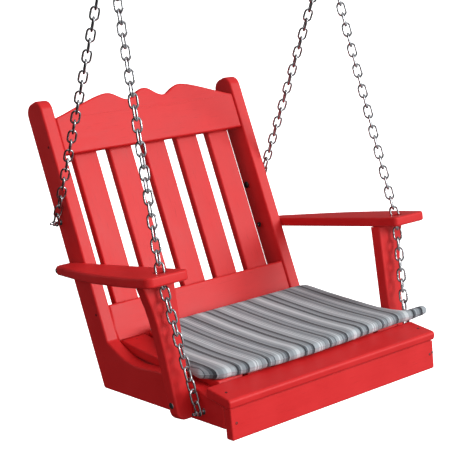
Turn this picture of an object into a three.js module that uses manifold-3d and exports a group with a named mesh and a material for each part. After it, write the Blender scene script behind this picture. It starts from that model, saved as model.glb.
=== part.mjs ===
// Single-seat porch swing: a slatted chair hung on two chain pairs from two ceiling brackets.
// Millimetres, +Z up, the seat's front towards -Y, origin in the ceiling plane midway between
// the brackets. The seat is laid out level in its own frame and then hung at its resting tilt.
import * as THREE from "three";
import { mergeVertices } from "three/addons/utils/BufferGeometryUtils.js";
import Module from "manifold-3d";

// ---- driving dimensions (mm, degrees) ---------------------------------------------------
const HALF_WIDTH = 343; // outer face of a side frame from the centre plane
const FRAME_T = 38; // thickness of the side frames
const BOARD_T = 25; // thickness of rails, slats, arms and front boards
const GAP = 0.3; // clearance where two pieces rest on each other
const CHAMFER = 3; // eased edge of every board

const RAIL_LENGTH = 525; // side frame, front end to the heel of the back post
const POST_DEPTH = 81; // back post, front face to rear face
const POST_TOP = 675; // back post above the inner corner, along the lean
const BACK_LEAN = 18.54; // back against the seat rails
const CORNER_Y = 484.4; // inner corner between seat rail and back post
const CORNER_Z = 133.2;

const LOWER_RAIL = { bottom: -20, top: 94 }; // lower back rail's edges, along the lean
const CREST_BOTTOM = 513; // crest rail's lower edge, along the lean
const BACK_SLATS = 5;
const SLAT_W = 76; // back and seat slats
const BACK_MARGIN = 36.7; // between an outer back slat and the side frame
const SEAT_SLATS = 7;
const SEAT_FRONT_Z = 95; // top of the seat slats at the front
const SEAT_RISE = 36.7; // how much higher they are at the back
const SLAT_FRONT_Y = 62.5;
const SLAT_REAR_Y = 478;

const NOSING_DEPTH = 89;
const NOSING_SLOPE = 10.3;
const NOSING_OVERHANG = 4;
const APRON_DROP = 22; // apron's lower edge below the side rails

const ARM_SLOPE = 4.27; // arms fall towards the back
const ARM_FRONT_Y = 80;
const ARM_UNDER_Z = 349.8; // underside at the front end
const ARM_LENGTH = 538;
const ARM_WIDTH = 121;
const ARM_POST_T = 35;
const ARM_POST_Y = 144; // front face of an arm post at the arm's underside
const CHAIN_HOLE = { x: HALF_WIDTH + 50, y: 127, r: 17 };

const BOLT_R = 4;
const REAR_BOLT = { y: 652, z: 441 };
const FRONT_BOLT = { y: 80, z: 30 };
const ARM_BOLT = { y: 606, z: 323 };
const FOOT_BOLT = { y: 141, z: 44 };
const ARM_HEAD_X = HALF_WIDTH + 52; // where the heads of the arm and foot bolts bear
const FOOT_HEAD_X = HALF_WIDTH + 46;
const CHAIN_X = HALF_WIDTH + 14.5; // chain ends beside the seat

const LINK = { wire: 4.9, inside: 29.5, width: 23.5 };
const LINK_LENGTH = LINK.inside + 2 * LINK.wire;
const REAR_LINKS = 27;
const FRONT_LINKS = 39;

const APEX = new THREE.Vector3(HALF_WIDTH + 6, 273, 1109); // where a chain pair meets, seat frame
const RING = { r: 24, wire: 4 };
const PIN_R = 5;
const PIN_DROP = 26; // hinge pin below the ceiling
const BAIL_PITCH = 36; // pin to ring eye
const BAIL_EYE = 7;
const HANG_TILT = 7.2; // seat leans back this far when it hangs at rest

// ---- finishes ---------------------------------------------------------------------------
const lumber = () => new THREE.MeshStandardMaterial({ color: 0xd01c24, roughness: 0.5, metalness: 0 });
const zinc = () => new THREE.MeshStandardMaterial({ color: 0xb9bcc0, roughness: 0.35, metalness: 1 });
const fabric = () => new THREE.MeshStandardMaterial({ color: 0xa3a8ab, roughness: 0.9, metalness: 0 });

// ---- helpers ----------------------------------------------------------------------------
const wasm = await Module();
wasm.setup();
const rad = THREE.MathUtils.degToRad;
const group = new THREE.Group();
const seat = new THREE.Group();
group.add(seat);

function toSolid(geometry) {
  const bare = geometry.clone();
  bare.deleteAttribute("normal");
  bare.deleteAttribute("uv");
  const merged = mergeVertices(bare, 1e-3);
  return new wasm.Manifold(new wasm.Mesh({
    numProp: 3,
    vertProperties: new Float32Array(merged.attributes.position.array),
    triVerts: new Uint32Array(merged.index.array),
  }));
}

function toGeometry(solid) {
  const mesh = solid.getMesh();
  const geometry = new THREE.BufferGeometry();
  geometry.setAttribute("position", new THREE.BufferAttribute(new Float32Array(mesh.vertProperties), 3));
  geometry.setIndex(new THREE.BufferAttribute(new Uint32Array(mesh.triVerts), 1));
  return geometry;
}

function cut(geometry, ...tools) {
  return toGeometry(tools.reduce((solid, tool) => solid.subtract(toSolid(tool)), toSolid(geometry)));
}

// Closed outline from [x, y, radius] corners.
function outline(corners, steps = 2) {
  const points = [];
  corners.forEach(([x, y, r = 0], i) => {
    const here = new THREE.Vector2(x, y);
    if (!r) return points.push(here);
    const before = corners[(i + corners.length - 1) % corners.length];
    const after = corners[(i + 1) % corners.length];
    const a = new THREE.Vector2(before[0], before[1]).sub(here).normalize();
    const b = new THREE.Vector2(after[0], after[1]).sub(here).normalize();
    const half = Math.acos(THREE.MathUtils.clamp(a.dot(b), -1, 1)) / 2;
    const centre = a.clone().add(b).normalize().multiplyScalar(r / Math.sin(half)).add(here);
    const start = a.clone().multiplyScalar(r / Math.tan(half)).add(here).sub(centre);
    const end = b.clone().multiplyScalar(r / Math.tan(half)).add(here).sub(centre);
    const sweep = Math.atan2(start.x * end.y - start.y * end.x, start.dot(end));
    for (let k = 0; k <= steps; k++) {
      points.push(start.clone().rotateAround(new THREE.Vector2(), (sweep * k) / steps).add(centre));
    }
  });
  return new THREE.Shape(points);
}

function circle(x, y, r, sides = 10) {
  const path = new THREE.Path();
  path.setFromPoints([...Array(sides).keys()].map((k) => {
    const angle = (2 * Math.PI * k) / sides;
    return new THREE.Vector2(x + r * Math.cos(angle), y + r * Math.sin(angle));
  }));
  return path;
}

// A plate of the given outline, its lower face at z = 0, with eased edges.
function board(shape, thickness, chamfer = CHAMFER) {
  const geometry = new THREE.ExtrudeGeometry(shape, {
    depth: thickness - 2 * chamfer,
    bevelEnabled: chamfer > 0,
    bevelThickness: chamfer,
    bevelSize: chamfer,
    bevelOffset: -chamfer,
    bevelSegments: 1,
    curveSegments: 8,
  });
  return geometry.translate(0, 0, chamfer);
}

function cylinderX(x0, x1, y, z, r, sides = 12) {
  const geometry = new THREE.CylinderGeometry(r, r, x1 - x0, sides);
  return geometry.rotateZ(Math.PI / 2).translate((x0 + x1) / 2, y, z);
}

function add(parent, name, geometry, material) {
  const mesh = new THREE.Mesh(geometry, material);
  mesh.name = name;
  parent.add(mesh);
  return mesh;
}

// Places a geometry drawn in the plane of two axes, its thickness along their cross product.
function place(geometry, xAxis, yAxis, origin) {
  const zAxis = new THREE.Vector3().crossVectors(xAxis, yAxis);
  return geometry.applyMatrix4(new THREE.Matrix4().makeBasis(xAxis, yAxis, zAxis).setPosition(origin));
}

const X = new THREE.Vector3(1, 0, 0);
const Y = new THREE.Vector3(0, 1, 0);
const Z = new THREE.Vector3(0, 0, 1);
const LEAN = new THREE.Vector3(0, Math.sin(rad(BACK_LEAN)), Math.cos(rad(BACK_LEAN)));
const BEHIND = new THREE.Vector3(0, LEAN.z, -LEAN.y); // square to the back, rearwards
const ARM_BACK = new THREE.Vector3(0, Math.cos(rad(ARM_SLOPE)), -Math.sin(rad(ARM_SLOPE)));
const ARM_UP = new THREE.Vector3().crossVectors(X, ARM_BACK);
const BACK_ORIGIN = new THREE.Vector3(0, CORNER_Y, CORNER_Z);
const SIDES = [["left", -1], ["right", 1]];

const backPoint = (along, behind) => BACK_ORIGIN.clone()
  .addScaledVector(LEAN, along).addScaledVector(BEHIND, behind);
const seatTop = (y) => SEAT_FRONT_Z
  + SEAT_RISE * Math.max(0, (y - SLAT_FRONT_Y) / (SLAT_REAR_Y - SLAT_FRONT_Y)) ** 1.6;

// ---- side frames: seat rail and back post cut as one L-shaped board -----------------------
function sideFrameOutline() {
  const frontTop = backPoint(POST_TOP, 0);
  const rearTop = backPoint(POST_TOP, POST_DEPTH);
  const shape = outline([
    [RAIL_LENGTH, 0, 6], [0, 0, 6], [0, 57, 8], [24, 62.5, 20], [60, 69, 10],
    [92, 80, 40], [135, 87, 60], [200, 93, 80], [252, 94.5, 60], [312, 91.5, 60], [352, 89.5, 30],
    [390, 96, 60], [CORNER_Y, CORNER_Z, 3],
    [frontTop.y, frontTop.z, 32], [rearTop.y, rearTop.z, 30],
  ]);
  for (const bolt of [REAR_BOLT, FRONT_BOLT, ARM_BOLT, FOOT_BOLT]) {
    shape.holes.push(circle(bolt.y, bolt.z, BOLT_R + GAP));
  }
  return shape;
}

for (const [side, sign] of SIDES) {
  const inner = sign > 0 ? HALF_WIDTH - FRAME_T : -HALF_WIDTH;
  add(seat, `side_frame_${side}`,
    place(board(sideFrameOutline(), FRAME_T), Y, Z, new THREE.Vector3(inner, 0, 0)), lumber());
}

// ---- back: crest rail, lower rail, upright slats ------------------------------------------
const INNER = HALF_WIDTH - FRAME_T - GAP;

// Upper edge of the crest from its middle to one end: a centre hump between two longer ones.
const CREST_EDGE = [
  [0, 157], [12, 155], [24, 147], [40, 138], [57, 132], [72, 133.5], [88, 141], [106, 151],
  [122, 155], [140, 154.5], [165, 149], [195, 140], [225, 130], [255, 119], [280, 110], [304.7, 104],
].map(([x, h]) => [(x * INNER) / 304.7, h]);

function crestOutline() {
  const right = CREST_EDGE.map(([x, h]) => new THREE.Vector2(x, h));
  const left = CREST_EDGE.slice(1).map(([x, h]) => new THREE.Vector2(-x, h)).reverse();
  return new THREE.Shape([
    new THREE.Vector2(-INNER, 0), new THREE.Vector2(INNER, 0), ...right.reverse(), ...left.reverse(),
  ]);
}

const onBack = (geometry, along, behind) => place(geometry, X, LEAN, backPoint(along, behind));

add(seat, "crest_rail", onBack(board(crestOutline(), BOARD_T), CREST_BOTTOM, 3 + BOARD_T), lumber());
const { bottom, top } = LOWER_RAIL;
add(seat, "lower_back_rail", onBack(
  board(outline([[-INNER, bottom], [INNER, bottom], [INNER, top], [-INNER, top]]), BOARD_T),
  0, 3 + BOARD_T), lumber());

const backPitch = (2 * (INNER - BACK_MARGIN) - SLAT_W) / (BACK_SLATS - 1);
for (let i = 0; i < BACK_SLATS; i++) {
  const middle = (i - (BACK_SLATS - 1) / 2) * backPitch;
  const shape = outline([
    [middle - SLAT_W / 2, 10], [middle + SLAT_W / 2, 10],
    [middle + SLAT_W / 2, 600], [middle - SLAT_W / 2, 600],
  ]);
  add(seat, `back_slat_${i + 1}`, onBack(board(shape, BOARD_T), 0, 3 + 2 * BOARD_T + GAP), lumber());
}

// ---- seat: supports between the rails, slats, nosing and apron ----------------------------
function seatSlatOutline() {
  const stations = [...Array(8).keys()].map((k) => SLAT_FRONT_Y + ((SLAT_REAR_Y - SLAT_FRONT_Y) * k) / 7);
  const top = stations.map((y) => new THREE.Vector2(y, seatTop(y)));
  const under = stations.map((y) => new THREE.Vector2(y, seatTop(y) - BOARD_T));
  return new THREE.Shape([...under, ...top.reverse()]);
}

const slatPitch = (2 * INNER - SLAT_W) / (SEAT_SLATS - 1);
for (let i = 0; i < SEAT_SLATS; i++) {
  const start = new THREE.Vector3(-INNER + i * slatPitch, 0, 0);
  add(seat, `seat_slat_${i + 1}`, place(board(seatSlatOutline(), SLAT_W), Y, Z, start), lumber());
}

const support = (name, y0, y1, z0, front, rear) => {
  const shape = new THREE.Shape([
    new THREE.Vector2(y0, z0), new THREE.Vector2(y1, z0),
    new THREE.Vector2(y1, rear), new THREE.Vector2(y0, front),
  ]);
  add(seat, name, place(board(shape, 2 * INNER, 0), Y, Z, new THREE.Vector3(-INNER, 0, 0)), lumber());
};
const under = (y) => seatTop(y) - BOARD_T - GAP;
support("front_seat_support", 63, 63 + FRAME_T, 43, under(63), under(63 + FRAME_T));
support("middle_seat_support", 262, 262 + FRAME_T, 14, under(262), under(262 + FRAME_T));
support("rear_seat_support", 434, 434 + FRAME_T, 24, under(434), under(434 + FRAME_T));

const nosingDir = new THREE.Vector3(0, -Math.cos(rad(NOSING_SLOPE)), -Math.sin(rad(NOSING_SLOPE)));
const nosingUp = new THREE.Vector3(0, -Math.sin(rad(NOSING_SLOPE)), Math.cos(rad(NOSING_SLOPE)));
const nosingRear = new THREE.Vector3(0, 55, 69 + BOARD_T);
const nosingX = HALF_WIDTH + NOSING_OVERHANG;
add(seat, "seat_nosing", place(
  board(outline([[0, 0, 5], [0, NOSING_DEPTH, 10], [-BOARD_T, NOSING_DEPTH, 10], [-BOARD_T, 0, 5]]),
    2 * nosingX), nosingUp, nosingDir, nosingRear.clone().setX(-nosingX)), lumber());

const nosingUnder = (y) => nosingRear.z - (BOARD_T + GAP) / Math.cos(rad(NOSING_SLOPE))
  - (nosingRear.y - y) * Math.tan(rad(NOSING_SLOPE));
const apronBack = -GAP;
const apronFront = apronBack - BOARD_T;
add(seat, "front_apron", place(board(outline([
  [apronFront, -APRON_DROP], [apronBack, -APRON_DROP],
  [apronBack, nosingUnder(apronBack)], [apronFront, nosingUnder(apronFront)],
]), 2 * HALF_WIDTH), Y, Z, new THREE.Vector3(-HALF_WIDTH, 0, 0)), lumber());

// ---- arms and arm posts --------------------------------------------------------------------
const ARM_IN = HALF_WIDTH + GAP;
const ARM_OUT = ARM_IN + ARM_WIDTH;

function armShape(sign) {
  const corners = [
    [ARM_IN, 0, 12], [ARM_OUT - 2, 0, 20], [ARM_OUT, 110, 60], [ARM_OUT - 7, 221, 60],
    [ARM_OUT - 20, 321, 60], [ARM_OUT - 45, 437, 60],
    [ARM_OUT - 68, ARM_LENGTH, 22], [ARM_IN, ARM_LENGTH, 6],
  ].map(([x, u, r]) => [sign * x, u, r]);
  const shape = outline(sign > 0 ? corners : corners.reverse());
  const holeAlong = (CHAIN_HOLE.y - ARM_FRONT_Y) / ARM_BACK.y;
  shape.holes.push(circle(sign * CHAIN_HOLE.x, holeAlong, CHAIN_HOLE.r, 16));
  return shape;
}

function armPostShape(sign) {
  const height = 345;
  const corners = [
    [GAP, 0], [93, 0], [84, -30, 40], [75, -62, 60], [66, -105, 60], [60, -165, 60],
    [45, -height, 24], [GAP, -height, 6],
  ].map(([out, h, r]) => [sign * (HALF_WIDTH + out), h, r]);
  return outline(sign > 0 ? corners.reverse() : corners);
}

for (const [side, sign] of SIDES) {
  const armOrigin = new THREE.Vector3(0, ARM_FRONT_Y, ARM_UNDER_Z);
  // A bolt's bore with a flat spot-face for its head on the sloping outer edge.
  const bore = (bolt, seatX) => [[300, 480, BOLT_R + GAP], [seatX, 480, 9.5]].map(([x0, x1, r]) =>
    cylinderX(sign > 0 ? x0 : -x1, sign > 0 ? x1 : -x0, bolt.y, bolt.z, r));
  const arm = place(board(armShape(sign), BOARD_T), X, ARM_BACK, armOrigin);
  add(seat, `armrest_${side}`, cut(arm, ...bore(ARM_BOLT, ARM_HEAD_X - GAP)), lumber());
  const along = (ARM_POST_Y + ARM_POST_T - ARM_FRONT_Y) / ARM_BACK.y;
  const postTop = armOrigin.clone().addScaledVector(ARM_BACK, along).addScaledVector(ARM_UP, -GAP);
  const armPost = place(board(armPostShape(sign), ARM_POST_T), X, ARM_UP, postTop);
  add(seat, `arm_post_${side}`, cut(armPost, ...bore(FOOT_BOLT, FOOT_HEAD_X - GAP)), lumber());
}

// ---- bolts and nuts ------------------------------------------------------------------------
// Turned profile along its own axis: a low domed head, then the shank.
function boltX(headX, endX, sign, y, z) {
  const length = Math.abs(endX - headX);
  const profile = [
    [0, 0], [BOLT_R, 0], [BOLT_R, length], [8.5, length],
    [8.5, length + 2], [5, length + 5], [0, length + 6],
  ];
  const geometry = new THREE.LatheGeometry(profile.map(([r, h]) => new THREE.Vector2(r, h)), 12);
  const headwards = headX > endX ? sign : -sign;
  return geometry.translate(0, -length, 0).rotateZ(-headwards * Math.PI / 2).translate(sign * headX, y, z);
}

function nutX(x0, y, z) {
  const shape = new THREE.Shape(circle(0, 0, 7.5, 6).getPoints().slice(0, 6));
  shape.holes.push(circle(0, 0, BOLT_R + GAP));
  return place(board(shape, 6, 0), Y, Z, new THREE.Vector3(x0, y, z));
}

const INSIDE = HALF_WIDTH - FRAME_T;
for (const [side, sign] of SIDES) {
  const nutAt = (x, bolt) => nutX(sign > 0 ? x : -x - 6, bolt.y, bolt.z);
  for (const [name, bolt] of [["rear", REAR_BOLT], ["front", FRONT_BOLT]]) {
    const chainBolt = boltX(INSIDE - GAP, CHAIN_X + 18, sign, bolt.y, bolt.z);
    add(seat, `${name}_chain_bolt_${side}`, chainBolt, zinc());
    add(seat, `${name}_chain_nut_${side}`, nutAt(CHAIN_X + LINK.wire / 2 + 1, bolt), zinc());
  }
  for (const [name, bolt, headX] of [["arm", ARM_BOLT, ARM_HEAD_X], ["foot", FOOT_BOLT, FOOT_HEAD_X]]) {
    add(seat, `${name}_bolt_${side}`, boltX(headX, INSIDE - 9, sign, bolt.y, bolt.z), zinc());
    add(seat, `${name}_nut_${side}`, nutAt(INSIDE - 6 - GAP, bolt), zinc());
  }
}

// ---- chains ----------------------------------------------------------------------------------
// One link lies across X, the next along it. Only the two end links are open; the rest are plates
// with a link's outline, joined where neighbouring links bear on each other.
function linkGeometry(open) {
  const [w, l] = [LINK.width / 2, LINK_LENGTH / 2];
  const lozenge = (rim, end) => {
    const [x, y] = [w - rim, l - rim];
    return [[x, 9 - y], [x, y - 9], [x * end, y], [-x * end, y], [-x, y - 9], [-x, 9 - y], [-x * end, -y],
      [x * end, -y]].map(([px, py]) => new THREE.Vector2(px, py));
  };
  const pointed = lozenge(0, 0).filter((p, i) => i !== 3 && i !== 7);
  const shape = new THREE.Shape(open ? lozenge(0, 0.42) : pointed);
  if (open) shape.holes.push(new THREE.Path(lozenge(LINK.wire, 0.75)));
  return board(shape, LINK.wire, 0).translate(0, 0, -LINK.wire / 2);
}

function chainRun(path, links) {
  const legs = path.slice(1).map((p, i) => p.distanceTo(path[i]));
  const total = legs.reduce((a, b) => a + b, 0);
  const first = LINK.inside / 2 - RING.wire - 2.7;
  const last = LINK.inside / 2 - BOLT_R - GAP;
  const pitch = (total - first - last) / (links - 1);
  let solid = null;
  for (let i = 0; i < links; i++) {
    let s = first + i * pitch;
    let leg = 0;
    while (leg < legs.length - 1 && s > legs[leg]) s -= legs[leg++];
    const along = path[leg + 1].clone().sub(path[leg]).normalize();
    const centre = path[leg].clone().addScaledVector(along, s);
    const side = new THREE.Vector3().crossVectors(along, X).normalize();
    const across = i % 2 ? new THREE.Vector3().crossVectors(side, along).normalize() : side;
    const link = toSolid(place(linkGeometry(i === 0 || i === links - 1), across, along, centre));
    solid = solid ? solid.add(link) : link;
  }
  return toGeometry(solid);
}

for (const [side, sign] of SIDES) {
  const point = (x, y, z) => new THREE.Vector3(sign * x, y, z);
  const rear = [point(APEX.x + 6.6, APEX.y, APEX.z), point(CHAIN_X, REAR_BOLT.y, REAR_BOLT.z)];
  const front = [point(APEX.x - 6.6, APEX.y, APEX.z), point(CHAIN_HOLE.x, CHAIN_HOLE.y, 358.8),
    point(CHAIN_X, FRONT_BOLT.y, FRONT_BOLT.z)];
  add(seat, `rear_chain_${side}`, chainRun(rear, REAR_LINKS), zinc());
  add(seat, `front_chain_${side}`, chainRun(front, FRONT_LINKS), zinc());
}

// ---- cushion: thin pad that follows the dished seat ------------------------------------------
function cushionGeometry() {
  const rows = [[478, 3, 10], [470, 0, 18], [452, 0, 27], [330, 0, 29], [200, 0, 31], [110, 0, 31],
    [60, 0, 27], [38, 1, 20], [28, 4, 11]];
  const lower = rows.map(([y, lift]) => new THREE.Vector2(y, seatTop(y) + GAP + lift));
  const upper = rows.map(([y, , thick]) => new THREE.Vector2(y, seatTop(y) + thick)).reverse();
  const slab = place(board(new THREE.Shape([...lower, ...upper].reverse()), 800, 0), Y, Z,
    new THREE.Vector3(-400, 0, 0));
  const spread = HALF_WIDTH - 343;
  const edge = [[-334, 104, 20], [-300, 60, 30], [-230, 42], [-130, 32], [-20, 28], [80, 31],
    [200, 40], [300, 48], [386, 44, 10], [374, 70, 14], [344, 84, 14], [340, 130, 40],
    [338, 480, 20], [-214, 480, 24], [-320, 200, 60]];
  const plan = board(outline(edge.map(([x, y, r]) => [x + Math.sign(x) * spread, y, r]), 4), 400, 0);
  return toGeometry(toSolid(slab).intersect(toSolid(plan)));
}
add(seat, "seat_cushion", cushionGeometry(), fabric());

// ---- hanging the seat --------------------------------------------------------------------------
const ringTopZ = -PIN_DROP - BAIL_PITCH - (BAIL_EYE - RING.wire - 0.8);
const apexZ = ringTopZ - 2 * RING.r;
seat.rotation.x = -rad(HANG_TILT);
const hung = new THREE.Vector3(0, APEX.y, APEX.z).applyAxisAngle(X, -rad(HANG_TILT));
seat.position.set(0, -hung.y, apexZ - hung.z);

// ---- rings, swinging shackles, pins and ceiling brackets ----------------------------------------
const boreR = (PIN_R + 0.06) / Math.cos(Math.PI / 24); // its flats clear the pin's corners

function bracketGeometry() {
  const plate = outline([[-38, -55, 8], [38, -55, 8], [38, 55, 8], [-38, 55, 8]]);
  for (const [x, y] of [[-25, -40], [25, -40], [25, 40], [-25, 40]]) {
    plate.holes.push(circle(x, y, 3.5, 8));
  }
  const ears = [-9, 4].map((x) => {
    const foot = -PIN_DROP - 13;
    const ear = outline([[-12, foot, 11], [12, foot, 11], [22, -5], [-22, -5]]);
    ear.holes.push(circle(0, -PIN_DROP, PIN_R + 0.06, 24));
    return toSolid(place(board(ear, 5, 0), Y, Z, new THREE.Vector3(x, 0, 0)));
  });
  const base = toSolid(board(plate, 6, 0).translate(0, 0, -6));
  return toGeometry(ears.reduce((solid, ear) => solid.add(ear), base));
}

for (const [side, sign] of SIDES) {
  const x = sign * APEX.x;
  add(group, `ceiling_bracket_${side}`, bracketGeometry(), zinc()).position.set(x, 0, 0);
  const profile = [[0, -12], [PIN_R, -12], [PIN_R, 9 + GAP], [8, 9 + GAP], [8, 12], [0, 12]];
  const pin = new THREE.LatheGeometry(profile.map(([r, h]) => new THREE.Vector2(r, h)), 24);
  add(group, `hinge_pin_${side}`, pin.rotateZ(-Math.PI / 2), zinc()).position.set(x, 0, -PIN_DROP);

  const end = -BAIL_PITCH - 15;
  const bail = outline([[-13, 13, 12], [-13, end, 12], [13, end, 12], [13, 13, 12]]);
  bail.holes.push(circle(0, 0, boreR, 24), circle(0, -BAIL_PITCH, BAIL_EYE, 16));
  const bailMesh = place(board(bail, 7, 0), Y, Z, new THREE.Vector3(-3.5, 0, 0));
  add(group, `shackle_${side}`, bailMesh, zinc()).position.set(x, 0, -PIN_DROP);

  const ring = new THREE.TorusGeometry(RING.r, RING.wire, 6, 20).rotateX(Math.PI / 2);
  add(group, `chain_ring_${side}`, ring, zinc()).position.set(x, 0, ringTopZ - RING.r);
}

export default group;
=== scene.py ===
"""Looks for a single-seat porch swing: red boards, plated chains and a striped seat pad.

Sizes are in millimetres in the seat's own level frame (x to the right, y rearwards from the front end
of the side rails, z up from their underside) until a piece is hung, which turns them into metres.
"""

import sys
import logging
import math
from collections.abc import Callable, Sequence
from dataclasses import dataclass, field
from enum import Enum

import bmesh
import bpy
from mathutils import Matrix, Vector, noise
from mathutils.bvhtree import BVHTree
from mathutils.geometry import tessellate_polygon


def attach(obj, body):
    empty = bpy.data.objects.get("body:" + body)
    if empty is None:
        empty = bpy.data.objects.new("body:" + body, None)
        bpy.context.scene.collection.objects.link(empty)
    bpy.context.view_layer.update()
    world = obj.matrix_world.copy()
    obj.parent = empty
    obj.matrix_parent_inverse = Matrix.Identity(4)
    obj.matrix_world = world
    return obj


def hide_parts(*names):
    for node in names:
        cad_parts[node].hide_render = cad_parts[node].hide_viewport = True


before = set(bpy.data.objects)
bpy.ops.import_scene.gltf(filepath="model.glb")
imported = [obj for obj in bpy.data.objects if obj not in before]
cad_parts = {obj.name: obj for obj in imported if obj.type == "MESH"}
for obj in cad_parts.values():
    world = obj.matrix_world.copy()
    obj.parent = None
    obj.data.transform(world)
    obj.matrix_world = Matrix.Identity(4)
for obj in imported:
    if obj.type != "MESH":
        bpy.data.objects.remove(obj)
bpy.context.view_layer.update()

LOG = logging.getLogger("porch_swing")
MM = 0.001
RIM_STEPS = 4  # chords in a board's rounded rim
HOLE_EASE = 1.5  # most that a hole's rim is rounded
MITRE_LIMIT = 0.3  # keeps an inset short at a sharp corner
SIDES = (("left", -1), ("right", 1))
X_AXIS, Y_AXIS, Z_AXIS = Vector((1, 0, 0)), Vector((0, 1, 0)), Vector((0, 0, 1))
Colour = tuple[float, float, float, float]
Outline = list[tuple[float, float]]


class Body(Enum):
    """The moving bodies that pieces ride on."""

    CEILING = "ceiling_mounts"
    SWING = "swing"
    PAD = "cushion"


class Slot(Enum):
    """The record's material slots."""

    LUMBER = "red_lumber"
    ZINC = "zinc_steel"
    FABRIC = "cushion_fabric"


# ---- shader building ----------------------------------------------------------------------------


class Wire:
    """A node's output that can be used in ordinary arithmetic."""

    def __init__(self, bench: "Bench", socket: bpy.types.NodeSocket) -> None:
        """Keeps the socket and the bench that new nodes go on."""
        self.bench = bench
        self.socket = socket

    def __add__(self, other: "Wire | float") -> "Wire":
        """Sum of two values."""
        return self.bench.math("ADD", self, other)

    def __sub__(self, other: "Wire | float") -> "Wire":
        """Difference of two values."""
        return self.bench.math("SUBTRACT", self, other)

    def __mul__(self, other: "Wire | float") -> "Wire":
        """Product of two values."""
        return self.bench.math("MULTIPLY", self, other)

    def __truediv__(self, other: "Wire | float") -> "Wire":
        """Quotient of two values."""
        return self.bench.math("DIVIDE", self, other)


class Bench:
    """One material's node tree, with its Principled shader ready to be fed."""

    def __init__(self, name: str) -> None:
        """Starts an empty material of this name."""
        self.material = bpy.data.materials.new(name)
        self.material.use_nodes = True
        self.tree = self.material.node_tree
        self.tree.nodes.clear()
        self.shader = self.tree.nodes.new("ShaderNodeBsdfPrincipled")
        output = self.tree.nodes.new("ShaderNodeOutputMaterial")
        self.tree.links.new(self.shader.outputs["BSDF"], output.inputs["Surface"])

    def node(self, kind: str, settings: dict | None = None, sockets: dict | None = None,
             output: str | int = 0) -> Wire:
        """Adds a node.

        Args:
            kind: Blender's node type.
            settings: attributes to set first; "stops" fills a stepped colour ramp.
            sockets: input name or index to a value or a Wire.
            output: which output to return.

        Returns:
            The chosen output.
        """
        made = self.tree.nodes.new(kind)
        for key, value in (settings or {}).items():
            if key == "stops":
                ramp = made.color_ramp
                ramp.interpolation = "CONSTANT"
                while len(ramp.elements) < len(value):
                    ramp.elements.new(0.5)
                for element, (place, colour) in zip(ramp.elements, value):
                    element.position, element.color = place, colour
            else:
                setattr(made, key, value)
        for key, value in (sockets or {}).items():
            if isinstance(value, Wire):
                self.tree.links.new(value.socket, made.inputs[key])
            else:
                made.inputs[key].default_value = value
        return Wire(self, made.outputs[output])

    def math(self, operation: str, first: Wire | float, second: Wire | float = 0.0) -> Wire:
        """One Math node."""
        return self.node("ShaderNodeMath", {"operation": operation}, {0: first, 1: second})

    def place(self, scale: Sequence[float] = (1, 1, 1)) -> Wire:
        """The piece's own coordinates in metres, scaled along each axis."""
        own = self.node("ShaderNodeTexCoord", output="Object")
        return self.node("ShaderNodeVectorMath", {"operation": "MULTIPLY"}, {0: own, 1: tuple(scale)})

    def axis(self, name: str) -> Wire:
        """One of the piece's own coordinates in metres."""
        return self.node("ShaderNodeSeparateXYZ", None, {0: self.place()}, name)

    def cloud(self, where: Wire, scale: float, detail: float = 3.0, rough: float = 0.5) -> Wire:
        """Soft noise from 0 to 1."""
        return self.node("ShaderNodeTexNoise", None, {
            "Vector": where, "Scale": scale, "Detail": detail, "Roughness": rough}, "Fac")

    def mix(self, amount: Wire | float, low: Wire | Colour, high: Wire | Colour) -> Wire:
        """Mixes two colours.

        Args:
            amount: how much of the second.
            low: the first colour.
            high: the second colour.

        Returns:
            The mixed colour.
        """
        return self.node("ShaderNodeMix", {"data_type": "RGBA"}, {0: amount, 6: low, 7: high}, 2)

    def remap(self, value: Wire, low: float, high: float, to_low: float, to_high: float) -> Wire:
        """Maps a value's range to another, clamped."""
        return self.node("ShaderNodeMapRange", None, {
            "Value": value, "From Min": low, "From Max": high, "To Min": to_low, "To Max": to_high})

    def feed(self, name: str, value: Wire | float | Colour) -> None:
        """Links or sets one socket of the Principled shader."""
        if isinstance(value, Wire):
            self.tree.links.new(value.socket, self.shader.inputs[name])
        else:
            self.shader.inputs[name].default_value = value

    def bump(self, height: Wire, distance: float, strength: float = 1.0) -> None:
        """Feeds a height in units of distance metres to the surface normal."""
        self.feed("Normal", self.node("ShaderNodeBump", None, {
            "Height": height, "Distance": distance, "Strength": strength}, "Normal"))


class Grain(Enum):
    """The way the streaks of a moulded board run, as stretch factors of its own axes."""

    ALONG_X = (0.06, 1.0, 1.0)
    ALONG_Y = (1.0, 0.06, 1.0)
    ALONG_Z = (1.0, 1.0, 0.06)


@dataclass(frozen=True)
class LumberFinish:
    """Through-coloured recycled plastic lumber with a satin, faintly streaked skin."""

    grain: Grain
    deep: Colour = (0.60, 0.012, 0.014, 1)
    bright: Colour = (0.68, 0.020, 0.022, 1)
    fleck: Colour = (0.50, 0.008, 0.010, 1)

    def build(self) -> bpy.types.Material:
        """Makes the material."""
        bench = Bench(f"lumber_{self.grain.name.lower()}")
        streaks = bench.cloud(bench.place(self.grain.value), 190, 4, 0.6)
        drift = bench.cloud(bench.place(), 9, 3)
        skin = bench.cloud(bench.place(), 900, 2)
        flecks = bench.remap(bench.cloud(bench.place(self.grain.value), 420, 1), 0.66, 0.74, 0, 0.5)
        tone = bench.remap(drift * 0.8 + streaks * 0.2, 0.3, 0.7, 0, 1)
        body = bench.mix(tone, self.deep, self.bright)
        bench.feed("Base Color", bench.mix(flecks, body, self.fleck))
        bench.feed("Roughness", bench.remap(drift * 0.5 + streaks * 0.5, 0.3, 0.7, 0.36, 0.5))
        bench.feed("Specular IOR Level", 0.24)
        bench.bump(streaks * 0.6 + skin * 0.4, 0.00025, 0.45)
        return bench.material


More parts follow.
